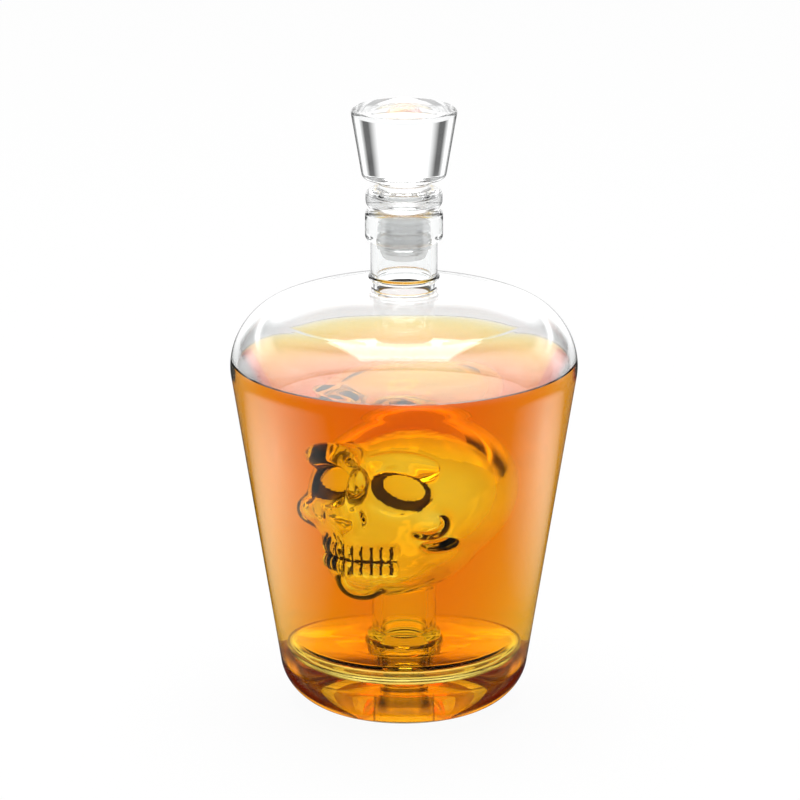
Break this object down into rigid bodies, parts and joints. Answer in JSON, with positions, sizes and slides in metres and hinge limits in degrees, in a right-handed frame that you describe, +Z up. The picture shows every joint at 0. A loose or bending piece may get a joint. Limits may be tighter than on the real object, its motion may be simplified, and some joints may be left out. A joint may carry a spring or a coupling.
{
  "type": "figural liquor decanter",
  "caption": "Tapered clear glass decanter with a hollow glass skull standing inside, amber liquor fill and a solid glass stopper in a ribbed seal.",
  "frame": {"origin": "middle of the ring that the decanter stands on, at table height", "axes": "+Z up along the body's axis; -Y towards the viewer of the picture, +X to that viewer's right"},
  "size_m": [0.1274, 0.1274, 0.2245],
  "materials": {
    "clear_glass": "clear polished blown glass",
    "liquor": "clear amber liquid",
    "seal_sleeve": "frosted translucent silicone"
  },
  "bodies": {
    "vessel": {"vessel_body": "clear_glass", "neck": "clear_glass", "foot_stem": "clear_glass", "hollow_foot": "clear_glass", "figure_neck": "clear_glass", "skull": "clear_glass", "liquor": "liquor"},
    "seal": {"seal_sleeve": "seal_sleeve"},
    "stopper": {"stopper": "clear_glass"}
  },
  "joints": [
    {"name": "stopper_lift", "type": "slide", "parent": "vessel", "child": "seal", "axis": [0, 0, 1], "range_m": [0, 0.045]},
    {"name": "stopper_turn", "type": "hinge", "parent": "seal", "child": "stopper", "pos_m": [0, 0, 0.19], "axis": [0, 0, 1], "range_deg": [-180, 180]}
  ]
}
